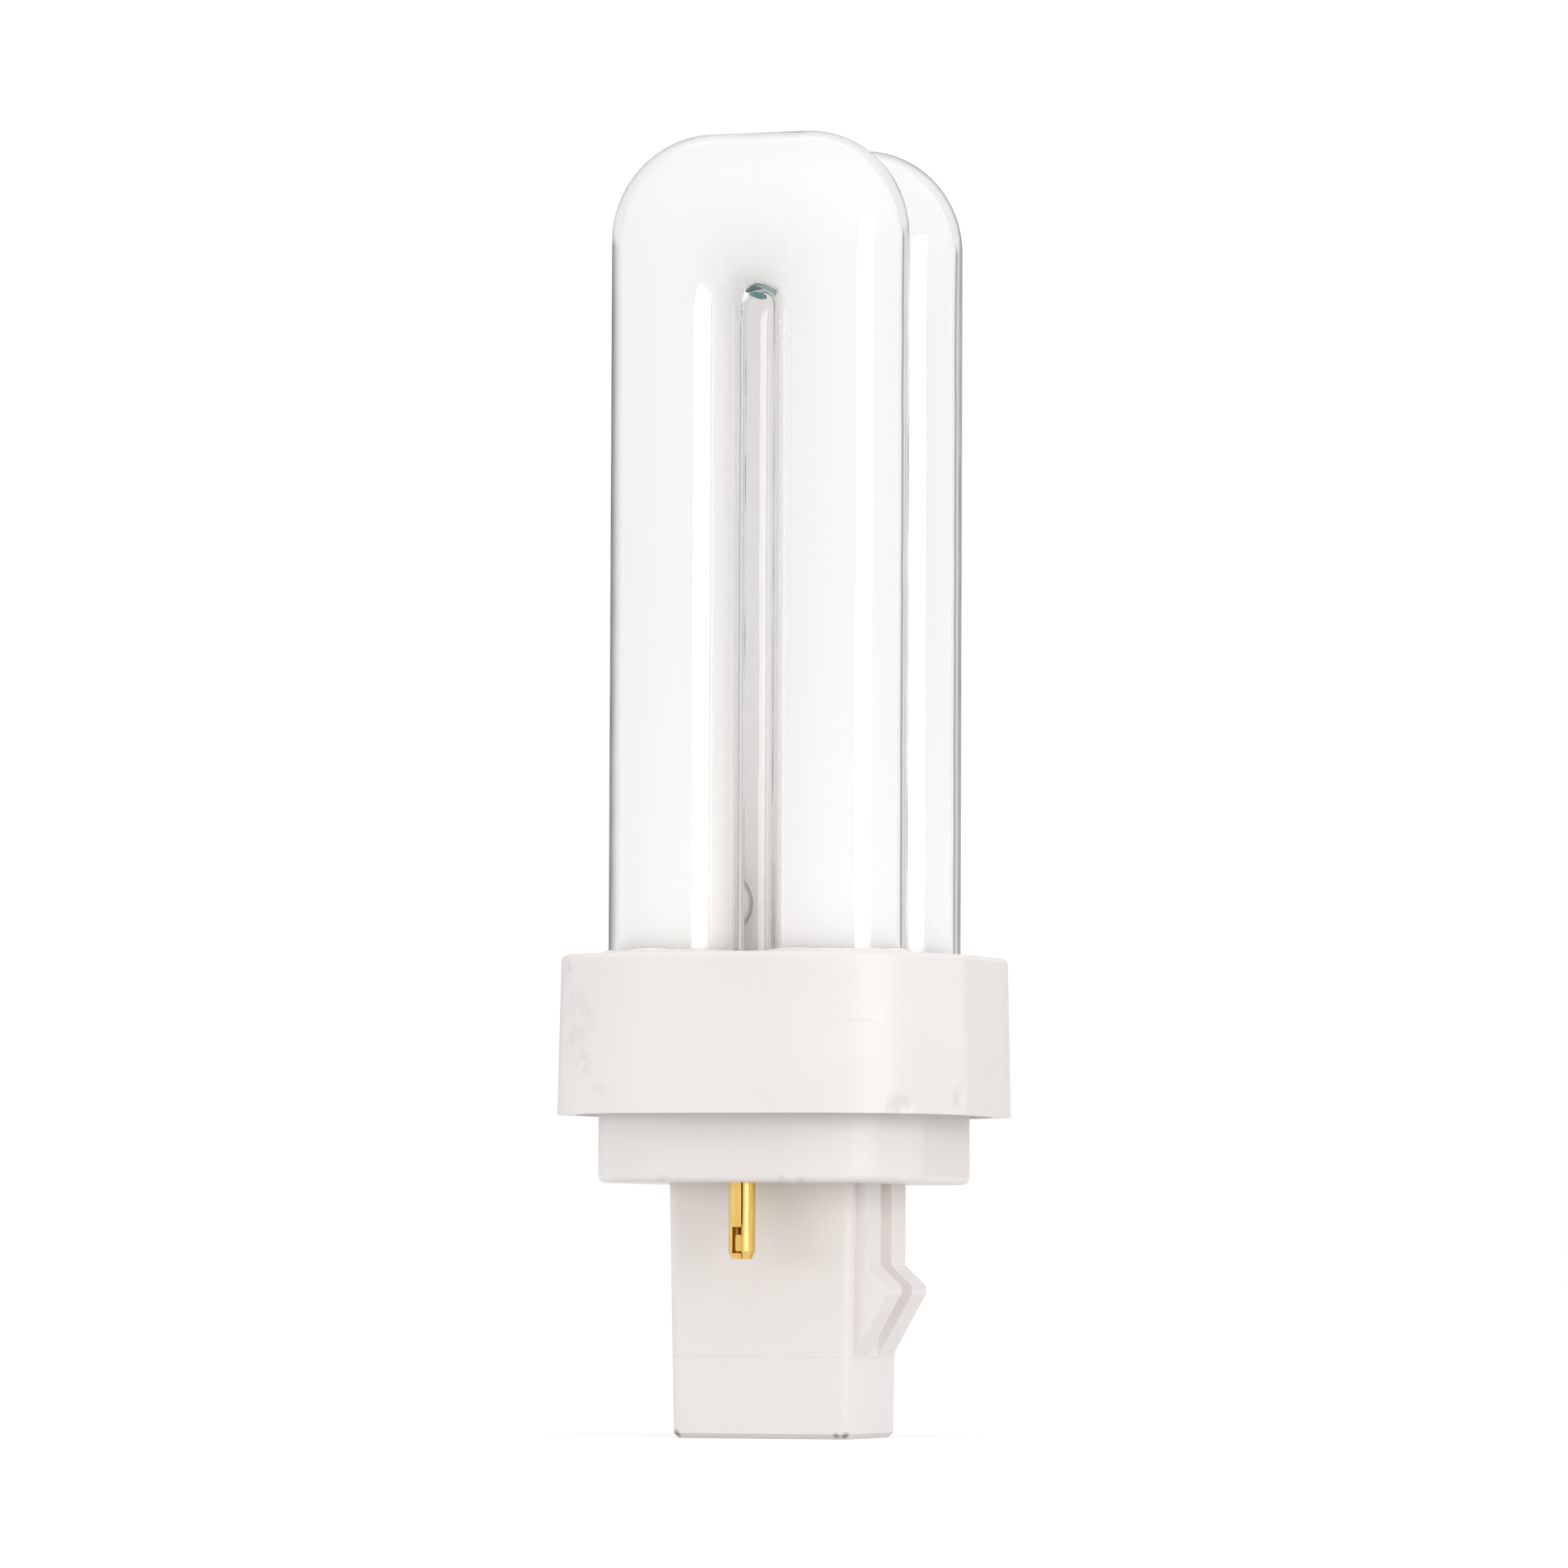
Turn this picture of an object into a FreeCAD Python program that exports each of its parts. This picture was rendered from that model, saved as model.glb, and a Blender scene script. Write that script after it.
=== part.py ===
import FreeCAD, Part
import Sketcher
import math
import os

doc = FreeCAD.newDocument("lamp")
vec = FreeCAD.Vector

# Driving sizes in millimetres and degrees
sizes = doc.addObject("Spreadsheet::Sheet", "Sizes")
sizes.Label = "Sizes"
sizeRows = [
    ("tubeDiameter", 12.0, "outside of a glass leg"),
    ("legPitchAcross", 15.2, "leg to leg in one U"),
    ("legPitchDeep", 15.2, "front U to rear U"),
    ("glassRise", 72.9, "glass above the collar"),
    ("bendRadius", 9.2, "outer corner of the moulded bend"),
    ("bendDepth", 14.2, "top of the bend to the end of the slot"),
    ("edgeRelief", 0.05, "strip left between meeting roundings"),
    ("legFoot", 10.3, "glass below the top of the collar"),
    ("footRound", 3.0, "rounding of a closed foot"),
    ("neckDiameter", 5.2, "glass neck between the two U tubes"),
    ("neckRise", 5.0, "neck centre above the collar"),
    ("collarFootWidth", 37.7, "collar across flats at its lower edge"),
    ("collarCorner", 14.0, "collar corner radius"),
    ("collarDraft", 1.3, "collar draft angle"),
    ("collarDepth", 14.1, "collar height"),
    ("collarWall", 1.6, "collar wall at its lower edge"),
    ("collarLedge", 0.8, "ledge that the lid plate sits against"),
    ("collarTopWall", 1.8, "top wall of the collar"),
    ("collarEdge", 0.5, "rounding of the collar top edge"),
    ("lidRecess", 1.5, "lid plate above the collar lower edge"),
    ("lidPlate", 2.0, "lid plate thickness"),
    ("lidClearance", 0.1, "gap round the lid plate"),
    ("skirtWidth", 29.8, "skirt across flats"),
    ("skirtCorner", 9.0, "skirt corner radius"),
    ("skirtDepth", 6.0, "skirt below the collar"),
    ("skirtEdge", 0.6, "rounding of the skirt lower edge"),
    ("capWall", 1.5, "skirt wall"),
    ("capFloor", 1.7, "floor that carries the pins"),
    ("postLength", 22.5, "post below the skirt"),
    ("postWidth", 17.2, "post at the skirt, across"),
    ("postThickness", 13.9, "post at the skirt, deep"),
    ("postDraft", 0.9, "post draft angle"),
    ("postCorner", 0.8, "post vertical edges"),
    ("postChamfer", 0.45, "post end edges"),
    ("postWall", 1.3, "post wall at its end"),
    ("postFloor", 1.5, "post end wall"),
    ("ribWidth", 4.0, "one latch rib"),
    ("ribGap", 3.0, "space between two latch ribs"),
    ("ribProud", 0.9, "rib shank beyond the post"),
    ("ribPeak", 2.85, "latch nose beyond the post"),
    ("ribShank", 7.2, "straight shank below the skirt"),
    ("ribNoseDrop", 9.0, "skirt to the upper corner of the nose"),
    ("ribNoseFlat", 0.7, "flat of the nose"),
    ("ribEndDrop", 15.3, "skirt to the rib end"),
    ("ribNoseRound", 0.5, "rounding of the nose"),
    ("pinDiameter", 2.35, "contact pin"),
    ("pinWall", 0.35, "rolled brass wall"),
    ("pinLength", 6.7, "pin below the skirt"),
    ("pinPitch", 23.0, "front pin to rear pin"),
    ("pinFlange", 0.5, "flared rim beyond the pin"),
    ("pinFlangeDepth", 0.4, "flared rim thickness"),
    ("pinSwell", 0.3, "swelled root beyond the pin, in the floor"),
    ("pinClearance", 0.03, "gap round the root in the floor"),
    ("pinSlit", 0.14, "rolled seam"),
    ("pinWindowWidth", 1.05, "window beside the seam"),
    ("pinWindowLength", 2.3, "window along the pin"),
    ("pinWindowDrop", 3.9, "skirt to the window"),
    ("pinTipLength", 0.67, "tapered tip"),
    ("pinTipInset", 0.3, "tip taper in radius"),
    ("pinTurn", 19.0, "seam turned from the front"),
    ("cementDepth", 5.8, "cement below the collar top wall"),
    ("cementClearance", 0.05, "gap at every cement face"),
    ("legClearance", 0.4, "leg hole beyond the glass"),
    ("cementRise", 0.35, "cement rim above the collar"),
    ("starterDiameter", 7.6, "glow starter bulb"),
    ("starterLength", 17.0, "glow starter bulb"),
    ("starterDome", 2.6, "rounding of the starter end"),
    ("innerClearance", 0.25, "starter and capacitor off the post walls"),
    ("starterLeadPitch", 2.4, "starter lead to lead"),
    ("starterLeadLength", 2.6, "starter lead above the bulb"),
    ("capacitorDeep", 7.0, "capacitor front to rear"),
    ("capacitorThick", 3.8, "capacitor across"),
    ("capacitorLength", 9.0, "capacitor height"),
    ("capacitorRound", 1.2, "capacitor edges"),
    ("capacitorLeadPitch", 4.6, "capacitor lead to lead"),
    ("wireDiameter", 0.6, "lead wires"),
    ("wireBend", 1.4, "bend radius of a lead"),
    ("wirePairPitch", 2.6, "two leads of one electrode"),
    ("wireInPin", 3.6, "lead end below the skirt inside the pin"),
]
for row, (name, value, note) in enumerate(sizeRows, start=1):
    sizes.set("A%d" % row, name)
    sizes.set("B%d" % row, str(value))
    sizes.set("C%d" % row, note)
    sizes.setAlias("B%d" % row, name)
doc.recompute()


def size(name):
    return float(getattr(sizes, name))


def sheet(text):
    # put the sheet's name before every alias in an expression
    out = []
    word = ""
    for letter in text + " ":
        if letter.isalnum():
            word += letter
            continue
        if word:
            known = any(word == row[0] for row in sizeRows)
            out.append("Sizes." + word if known else word)
            word = ""
        out.append(letter)
    return "".join(out).strip()


def value(text):
    return float(sizes.evalExpression(sheet(text)))


# Levels measured from the end of the post
seatLevel = "postLength"
collarLevel = "(postLength + skirtDepth)"
collarTop = "(postLength + skirtDepth + collarDepth)"
lidLevel = "(postLength + skirtDepth + lidRecess)"
lidTop = "(postLength + skirtDepth + lidRecess + lidPlate)"
floorLevel = "(postLength + capFloor)"
ceilingLevel = "(postLength + skirtDepth + collarDepth - collarTopWall)"
glassTop = "(postLength + skirtDepth + collarDepth + glassRise)"
footLevel = "(postLength + skirtDepth + collarDepth - legFoot)"


def newBody(label):
    body = doc.addObject("PartDesign::Body", label)
    body.Label = label
    return body


def newSketch(body, name, role, offset=None):
    sketch = body.newObject("Sketcher::SketchObject", name)
    for feature in body.Origin.OriginFeatures:
        if feature.Role == role:
            sketch.AttachmentSupport = (feature, [""])
    sketch.MapMode = "FlatFace"
    if offset is not None:
        sketch.setExpression("AttachmentOffset.Base.z", sheet(offset))
    return sketch


def bind(sketch, index, text):
    sketch.setExpression("Constraints[%d]" % index, sheet(text))


def polygon(sketch, points):
    # closed outline with each corner held from the sketch origin
    first = sketch.GeometryCount
    count = len(points)
    numbers = [vec(value(px), value(py), 0) for px, py in points]
    for k in range(count):
        sketch.addGeometry(Part.LineSegment(numbers[k], numbers[(k + 1) % count]), False)
    for k in range(count):
        after = first + (k + 1) % count
        sketch.addConstraint(Sketcher.Constraint("Coincident", first + k, 2, after, 1))
    for k, (px, py) in enumerate(points):
        across = Sketcher.Constraint("DistanceX", -1, 1, first + k, 1, numbers[k].x)
        bind(sketch, sketch.addConstraint(across), px)
        upward = Sketcher.Constraint("DistanceY", -1, 1, first + k, 1, numbers[k].y)
        bind(sketch, sketch.addConstraint(upward), py)


def rectangle(sketch, wide, deep):
    polygon(sketch, [
        ("-(%s) / 2" % wide, "-(%s) / 2" % deep),
        ("(%s) / 2" % wide, "-(%s) / 2" % deep),
        ("(%s) / 2" % wide, "(%s) / 2" % deep),
        ("-(%s) / 2" % wide, "(%s) / 2" % deep),
    ])


def roundedSquare(sketch, wide, radius):
    # four sides and four corner arcs, each arc held by its centre and radius
    half = value("(%s) / 2" % wide)
    bend = value(radius)
    inset = half - bend
    corners = [(1, -1), (1, 1), (-1, 1), (-1, -1)]
    for k, (sx, sy) in enumerate(corners):
        centre = vec(sx * inset, sy * inset, 0)
        begin = -math.pi / 2 + k * math.pi / 2
        arcCircle = Part.Circle(centre, vec(0, 0, 1), bend)
        sketch.addGeometry(Part.ArcOfCircle(arcCircle, begin, begin + math.pi / 2), False)
    for k, (sx, sy) in enumerate(corners):
        nx, ny = corners[(k + 1) % 4]
        out = vec(0, 0, 0)
        out.x = half * sx if sx == nx else 0
        out.y = half * sy if sy == ny else 0
        begin = vec(out.x if out.x else sx * inset, out.y if out.y else sy * inset, 0)
        end = vec(out.x if out.x else nx * inset, out.y if out.y else ny * inset, 0)
        sketch.addGeometry(Part.LineSegment(begin, end), False)
    for k, (sx, sy) in enumerate(corners):
        sketch.addConstraint(Sketcher.Constraint("Tangent", k, 2, 4 + k, 1))
        sketch.addConstraint(Sketcher.Constraint("Tangent", 4 + k, 2, (k + 1) % 4, 1))
    for k, (sx, sy) in enumerate(corners):
        bind(sketch, sketch.addConstraint(Sketcher.Constraint("Radius", k, bend)), radius)
        for kind, sign in (("DistanceX", sx), ("DistanceY", sy)):
            held = sketch.addConstraint(Sketcher.Constraint(kind, -1, 1, k, 3, sign * inset))
            bind(sketch, held, "%d * ((%s) / 2 - (%s))" % (sign, wide, radius))


def circle(sketch, px, py, radius):
    spot = vec(value(px), value(py), 0)
    index = sketch.addGeometry(Part.Circle(spot, vec(0, 0, 1), value(radius)), False)
    round_ = sketch.addConstraint(Sketcher.Constraint("Radius", index, value(radius)))
    bind(sketch, round_, radius)
    for kind, axis, text, number in (("DistanceX", -2, px, spot.x), ("DistanceY", -1, py, spot.y)):
        if text == "0":
            sketch.addConstraint(Sketcher.Constraint("PointOnObject", index, 3, axis))
        else:
            held = sketch.addConstraint(Sketcher.Constraint(kind, -1, 1, index, 3, number))
            bind(sketch, held, text)


def pad(body, name, sketch, length, midplane=False, taper=None, backward=False):
    feature = body.newObject("PartDesign::Pad", name)
    feature.Profile = sketch
    feature.setExpression("Length", sheet(length))
    feature.Midplane = midplane
    feature.Reversed = backward
    if taper is not None:
        feature.setExpression("TaperAngle", sheet(taper))
    sketch.Visibility = False
    doc.recompute()
    return feature


def pocket(body, name, sketch, length, backward=False, midplane=False):
    before = body.Shape.Volume
    feature = body.newObject("PartDesign::Pocket", name)
    feature.Profile = sketch
    feature.setExpression("Length", sheet(length))
    feature.Reversed = backward
    feature.Midplane = midplane
    sketch.Visibility = False
    doc.recompute()
    if body.Shape.Volume >= before - 1e-6:
        raise RuntimeError(name + " removes nothing")
    return feature


def edgeNames(shape, test):
    names = []
    for k, edge in enumerate(shape.Edges, start=1):
        box = edge.BoundBox
        if test(edge, box):
            names.append("Edge%d" % k)
    return names


def dress(body, kind, name, sizeText, test):
    base = body.Tip
    chosen = edgeNames(base.Shape, test)
    if not chosen:
        raise RuntimeError(name + " finds no edge")
    feature = body.newObject(kind, name)
    feature.Base = (base, chosen)
    key = "Radius" if kind == "PartDesign::Fillet" else "Size"
    feature.setExpression(key, sheet(sizeText))
    doc.recompute()
    return feature


def fillet(body, name, sizeText, test):
    return dress(body, "PartDesign::Fillet", name, sizeText, test)


def upright(box):
    return box.ZLength > 0.5 and box.XLength < 1.2 and box.YLength < 1.2


def near(number, text, slack=0.02):
    return abs(number - value(text)) < slack


# Two glass U tubes, blown in a mould so the bend has a flat top
frontU = newBody("front_u")
outline = newSketch(frontU, "u_outline", "XZ_Plane", "legPitchDeep / 2")
halfOut = "(legPitchAcross + tubeDiameter) / 2"
halfIn = "(legPitchAcross - tubeDiameter) / 2"
slotEnd = "%s - bendDepth" % glassTop
polygon(outline, [
    ("-%s" % halfOut, footLevel),
    ("-%s" % halfOut, glassTop),
    (halfOut, glassTop),
    (halfOut, footLevel),
    (halfIn, footLevel),
    (halfIn, slotEnd),
    ("-%s" % halfIn, slotEnd),
    ("-%s" % halfIn, footLevel),
])
pad(frontU, "u_blank", outline, "tubeDiameter", midplane=True)
fillet(frontU, "u_shoulders", "bendRadius", lambda edge, box:
       near(box.ZMin, glassTop) and near(box.ZMax, glassTop) and box.XLength < 0.01)
fillet(frontU, "u_slot_end", "%s - edgeRelief" % halfIn, lambda edge, box:
       near(box.ZMin, slotEnd) and near(box.ZMax, slotEnd) and box.XLength < 0.01)
fillet(frontU, "u_rounding", "tubeDiameter / 2 - edgeRelief", lambda edge, box:
       box.YLength < 0.01 and box.ZMax > value(footLevel) + 0.1)
fillet(frontU, "u_feet", "footRound", lambda edge, box:
       near(box.ZMin, footLevel) and near(box.ZMax, footLevel))
rearU = doc.addObject("Part::Mirroring", "rear_u")
rearU.Source = frontU
rearU.Normal = vec(0, 1, 0)
rearU.Base = vec(0, 0, 0)
neck = doc.addObject("Part::Cylinder", "glass_neck")
neck.setExpression("Radius", sheet("neckDiameter / 2"))
neck.setExpression("Height", sheet("legPitchDeep - tubeDiameter / 2"))
neck.Placement = FreeCAD.Placement(vec(0, 0, 0), FreeCAD.Rotation(vec(1, 0, 0), -90))
neck.setExpression("Placement.Base.x", sheet("-legPitchAcross / 2"))
neck.setExpression("Placement.Base.y", sheet("-(legPitchDeep - tubeDiameter / 2) / 2"))
neck.setExpression("Placement.Base.z", sheet("%s + neckRise" % collarTop))
doc.recompute()
glass = doc.addObject("Part::MultiFuse", "discharge_tube")
glass.Shapes = [frontU, rearU, neck]
glass.Label = "discharge_tube"
doc.recompute()

# Upper moulding, a drafted rounded square cup with four leg holes
collar = newBody("base_collar")
sketch = newSketch(collar, "collar_outline", "XY_Plane", collarLevel)
roundedSquare(sketch, "collarFootWidth", "collarCorner")
pad(collar, "collar_blank", sketch, "collarDepth", taper="-collarDraft")
fillet(collar, "collar_top_edge", "collarEdge", lambda edge, box:
       near(box.ZMin, collarTop) and near(box.ZMax, collarTop))
sketch = newSketch(collar, "skirt_space", "XY_Plane", collarLevel)
roundedSquare(sketch, "skirtWidth + 2 * lidClearance", "skirtCorner + lidClearance")
pocket(collar, "skirt_room", sketch, "lidRecess + lidPlate", backward=True)
lidSpace = "collarFootWidth - 2 * collarWall"
sketch = newSketch(collar, "lid_space", "XY_Plane", collarLevel)
roundedSquare(sketch, lidSpace, "collarCorner - collarWall")
pocket(collar, "lid_pocket", sketch, "lidRecess + lidPlate", backward=True)
cupSpace = "collarFootWidth - 2 * collarWall - 2 * collarLedge"
sketch = newSketch(collar, "cup_space", "XY_Plane", lidTop)
roundedSquare(sketch, cupSpace, "collarCorner - collarWall - collarLedge")
pocket(collar, "cup_pocket", sketch, "%s - %s" % (ceilingLevel, lidTop), backward=True)
legSpots = []
for signX in ("-", ""):
    for signY in ("-", ""):
        legSpots.append((signX + "legPitchAcross / 2", signY + "legPitchDeep / 2"))
legHole = "tubeDiameter / 2 + legClearance"
sketch = newSketch(collar, "leg_circles", "XY_Plane", collarTop)
for px, py in legSpots:
    circle(sketch, px, py, legHole)
pocket(collar, "leg_holes", sketch, "%s - %s" % (collarTop, lidTop))

# Cement poured round the glass feet and squeezed up past the leg holes
cement = newBody("cement_bed")
bedSpace = "%s - 2 * cementClearance" % cupSpace
sketch = newSketch(cement, "bed_outline", "XY_Plane", "%s - cementClearance" % ceilingLevel)
roundedSquare(sketch, bedSpace, "collarCorner - collarWall - collarLedge - cementClearance")
pad(cement, "bed_blank", sketch, "cementDepth", backward=True)
rimRadius = "%s - cementClearance" % legHole
sketch = newSketch(cement, "rim_circles", "XY_Plane", "%s - cementDepth / 2" % ceilingLevel)
for px, py in legSpots:
    circle(sketch, px, py, rimRadius)
pad(cement, "rims", sketch, "cementDepth / 2 + collarTopWall + cementRise")
sketch = newSketch(cement, "glass_circles", "XY_Plane", "%s + cementRise" % collarTop)
for px, py in legSpots:
    circle(sketch, px, py, "tubeDiameter / 2 + cementClearance")
pocket(cement, "glass_holes", sketch, "cementDepth + collarTopWall + cementRise + cementClearance")

# Lower moulding, a skirt on a lid plate with the plug-in post below
cap = newBody("base_cap")
sketch = newSketch(cap, "skirt_outline", "XY_Plane", seatLevel)
roundedSquare(sketch, "skirtWidth", "skirtCorner")
pad(cap, "skirt_blank", sketch, "skirtDepth + lidRecess + lidPlate / 2")
lidWide = "%s - 2 * lidClearance" % lidSpace
sketch = newSketch(cap, "lid_outline", "XY_Plane", lidLevel)
roundedSquare(sketch, lidWide, "collarCorner - collarWall - lidClearance")
pad(cap, "lid_blank", sketch, "lidPlate")
fillet(cap, "skirt_edge", "skirtEdge", lambda edge, box:
       near(box.ZMin, seatLevel) and near(box.ZMax, seatLevel))
sketch = newSketch(cap, "post_outline", "XY_Plane", seatLevel)
rectangle(sketch, "postWidth", "postThickness")
pad(cap, "post_blank", sketch, "postLength", taper="-postDraft", backward=True)
fillet(cap, "post_edges", "postCorner", lambda edge, box:
       upright(box) and near(box.ZMin, "0"))
dress(cap, "PartDesign::Chamfer", "post_end", "postChamfer", lambda edge, box:
      near(box.ZMin, "0") and near(box.ZMax, "0"))

# Latch ribs, a pair on one narrow side of the post
ribSketch = newSketch(cap, "rib_profile", "XZ_Plane", "ribGap / 2")
root = "(postWidth / 2 - postWall)"
shank = "(postWidth / 2 + ribProud)"
nose = "(postWidth / 2 + ribPeak)"
toe = "(postWidth / 2 - ribEndDrop * tan(postDraft * 1 deg) - edgeRelief)"
polygon(ribSketch, [
    (root, "%s + capFloor / 2" % seatLevel),
    (shank, "%s + capFloor / 2" % seatLevel),
    (shank, "%s - ribShank" % seatLevel),
    (nose, "%s - ribNoseDrop" % seatLevel),
    (nose, "%s - ribNoseDrop - ribNoseFlat" % seatLevel),
    (toe, "%s - ribEndDrop" % seatLevel),
    (root, "%s - ribEndDrop" % seatLevel),
])
ribPad = pad(cap, "front_ribs", ribSketch, "ribWidth")
fillet(cap, "rib_noses", "ribNoseRound", lambda edge, box:
       box.XLength < 0.01 and box.ZLength < 0.01 and near(box.YLength, "ribWidth")
       and abs(abs(box.Center.x) - value("postWidth / 2 + ribPeak")) < 0.01)
mirrored = cap.newObject("PartDesign::Mirrored", "rear_ribs")
mirrored.Originals = [ribPad, cap.Tip] if cap.Tip != ribPad else [ribPad]
for feature in cap.Origin.OriginFeatures:
    if feature.Role == "XZ_Plane":
        mirrored.MirrorPlane = (feature, [""])
cap.Tip = mirrored
doc.recompute()

# Hollow of the skirt and the post, and the two pin holes
pinSpots = ("-pinPitch / 2", "pinPitch / 2")
sketch = newSketch(cap, "flange_circles", "XY_Plane", lidTop)
for py in pinSpots:
    circle(sketch, "0", py, "pinDiameter / 2 + pinFlange + pinClearance")
pocket(cap, "flange_room", sketch, "%s - %s" % (lidTop, floorLevel))
hollow = "skirtWidth - 2 * capWall"
sketch = newSketch(cap, "skirt_hollow", "XY_Plane", lidTop)
roundedSquare(sketch, hollow, "skirtCorner - capWall")
pocket(cap, "skirt_pocket", sketch, "%s - %s" % (lidTop, floorLevel))
endWide = "postWidth - 2 * postLength * tan(postDraft * 1 deg) - 2 * postWall"
endDeep = "postThickness - 2 * postLength * tan(postDraft * 1 deg) - 2 * postWall"
sketch = newSketch(cap, "post_hollow", "XY_Plane", floorLevel)
rectangle(sketch, endWide, endDeep)
pocket(cap, "post_pocket", sketch, "%s - postFloor" % floorLevel)
sketch = newSketch(cap, "pin_circles", "XY_Plane", floorLevel)
for py in pinSpots:
    circle(sketch, "0", py, "pinDiameter / 2 + pinSwell + pinClearance")
pocket(cap, "pin_holes", sketch, "capFloor + edgeRelief")

# Contact pins, brass strip rolled to a tube with a flared rim and a pressed window
pinTip = "(postLength - pinLength)"
pinTop = "(postLength + capFloor + pinFlangeDepth)"
for label, turn, side in (("contact_pin_front", "pinTurn", "-"), ("contact_pin_rear", "pinTurn + 180", "")):
    pin = newBody(label)
    sketch = newSketch(pin, label + "_wall", "XZ_Plane")
    outer = "pinDiameter / 2"
    inner = "(pinDiameter / 2 - pinWall)"
    polygon(sketch, [
        (inner, pinTip),
        (outer + " - pinTipInset", pinTip),
        (outer, "%s + pinTipLength" % pinTip),
        (outer, seatLevel),
        (outer + " + pinSwell", seatLevel),
        (outer + " + pinSwell", floorLevel),
        (outer + " + pinFlange", floorLevel),
        (outer + " + pinFlange", pinTop),
        (inner, pinTop),
    ])
    turned = pin.newObject("PartDesign::Revolution", label + "_turn")
    turned.Profile = sketch
    turned.ReferenceAxis = (sketch, ["V_Axis"])
    turned.Angle = 360
    sketch.Visibility = False
    doc.recompute()
    sketch = newSketch(pin, label + "_seam", "XZ_Plane")
    polygon(sketch, [
        ("-pinSlit / 2", "%s - pinWall" % pinTip),
        ("pinSlit / 2", "%s - pinWall" % pinTip),
        ("pinSlit / 2", "%s + pinWall" % pinTop),
        ("-pinSlit / 2", "%s + pinWall" % pinTop),
    ])
    pocket(pin, label + "_slit", sketch, "pinDiameter", backward=True)
    sketch = newSketch(pin, label + "_gate", "XZ_Plane")
    polygon(sketch, [
        ("-pinWindowWidth", "%s - pinWindowDrop - pinWindowLength" % seatLevel),
        ("0", "%s - pinWindowDrop - pinWindowLength" % seatLevel),
        ("0", "%s - pinWindowDrop" % seatLevel),
        ("-pinWindowWidth", "%s - pinWindowDrop" % seatLevel),
    ])
    pocket(pin, label + "_window", sketch, "pinDiameter", backward=True)
    pin.setExpression("Placement.Base.y", sheet(side + "pinPitch / 2"))
    pin.setExpression("Placement.Rotation.Angle", sheet(turn))
    doc.recompute()

# Glow starter, a small domed bulb with two leads, standing on the post end wall
starter = newBody("glow_starter")
sketch = newSketch(starter, "bulb_outline", "XY_Plane", "postFloor")
circle(sketch, "0", "0", "starterDiameter / 2")
pad(starter, "bulb_blank", sketch, "starterLength")
fillet(starter, "bulb_ends", "starterDome", lambda edge, box:
       near(box.XLength, "starterDiameter") and box.ZLength < 0.01)
starterTop = "postFloor + starterLength"
sketch = newSketch(starter, "bulb_leads", "XY_Plane", "%s - starterDome / 2" % starterTop)
circle(sketch, "0", "-starterLeadPitch / 2", "wireDiameter / 2")
circle(sketch, "0", "starterLeadPitch / 2", "wireDiameter / 2")
pad(starter, "bulb_lead_pad", sketch, "starterDome / 2 + starterLeadLength")
starterSpot = "-((%s) / 2 - innerClearance - starterDiameter / 2)" % endWide
starter.setExpression("Placement.Base.x", sheet(starterSpot))
doc.recompute()


# Wires run straight between points, with an arc at every bend
def wire(points):
    spots = [vec(*point) for point in points]
    edges = []
    last = spots[0]
    for k in range(1, len(spots) - 1):
        came = (spots[k] - spots[k - 1]).normalize()
        goes = (spots[k + 1] - spots[k]).normalize()
        half = came.getAngle(goes) / 2
        shortest = min((spots[k] - spots[k - 1]).Length, (spots[k + 1] - spots[k]).Length)
        reach = min(size("wireBend") * math.tan(half), shortest * 0.49)
        bend = reach / math.tan(half)
        begin = spots[k] - came * reach
        end = spots[k] + goes * reach
        middle = spots[k] + (goes - came).normalize() * (bend / math.cos(half) - bend)
        edges.append(Part.LineSegment(last, begin).toShape())
        edges.append(Part.Arc(begin, middle, end).toShape())
        last = end
    edges.append(Part.LineSegment(last, spots[-1]).toShape())
    ring = Part.Wire(Part.makeCircle(size("wireDiameter") / 2, spots[0], spots[1] - spots[0]))
    return Part.Wire(edges).makePipeShell([ring], True, False)


legX = value("legPitchAcross / 2")
legY = value("legPitchDeep / 2")
footZ = value(footLevel)
pinY = value("pinPitch / 2")
rimZ = value(pinTop)
leadX = value(starterSpot)
leadY = value("starterLeadPitch / 2")
leadZ = value(starterTop) + size("starterLeadLength")
halfPair = value("wirePairPitch / 2")
firstBend = 0.4
lastBend = 0.6
for label, side in (("lead_front_pin", -1), ("lead_rear_pin", 1)):
    lead = doc.addObject("Part::Feature", label)
    lead.Label = label
    lead.Shape = wire([
        (legX + halfPair, side * legY, footZ),
        (legX + halfPair, side * legY, footZ - (footZ - rimZ) * firstBend),
        (0, side * pinY, footZ - (footZ - rimZ) * lastBend),
        (0, side * pinY, size("postLength") - size("wireInPin")),
    ])
nearEnd = 0.25
for label, side in (("lead_front_starter", -1), ("lead_rear_starter", 1)):
    lead = doc.addObject("Part::Feature", label)
    lead.Label = label
    lead.Shape = wire([
        (legX - halfPair, side * legY, footZ),
        (legX - halfPair, side * legY, footZ - (footZ - leadZ) * nearEnd),
        (leadX, side * leadY, leadZ + (footZ - leadZ) * nearEnd),
        (leadX, side * leadY, leadZ),
    ])

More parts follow.
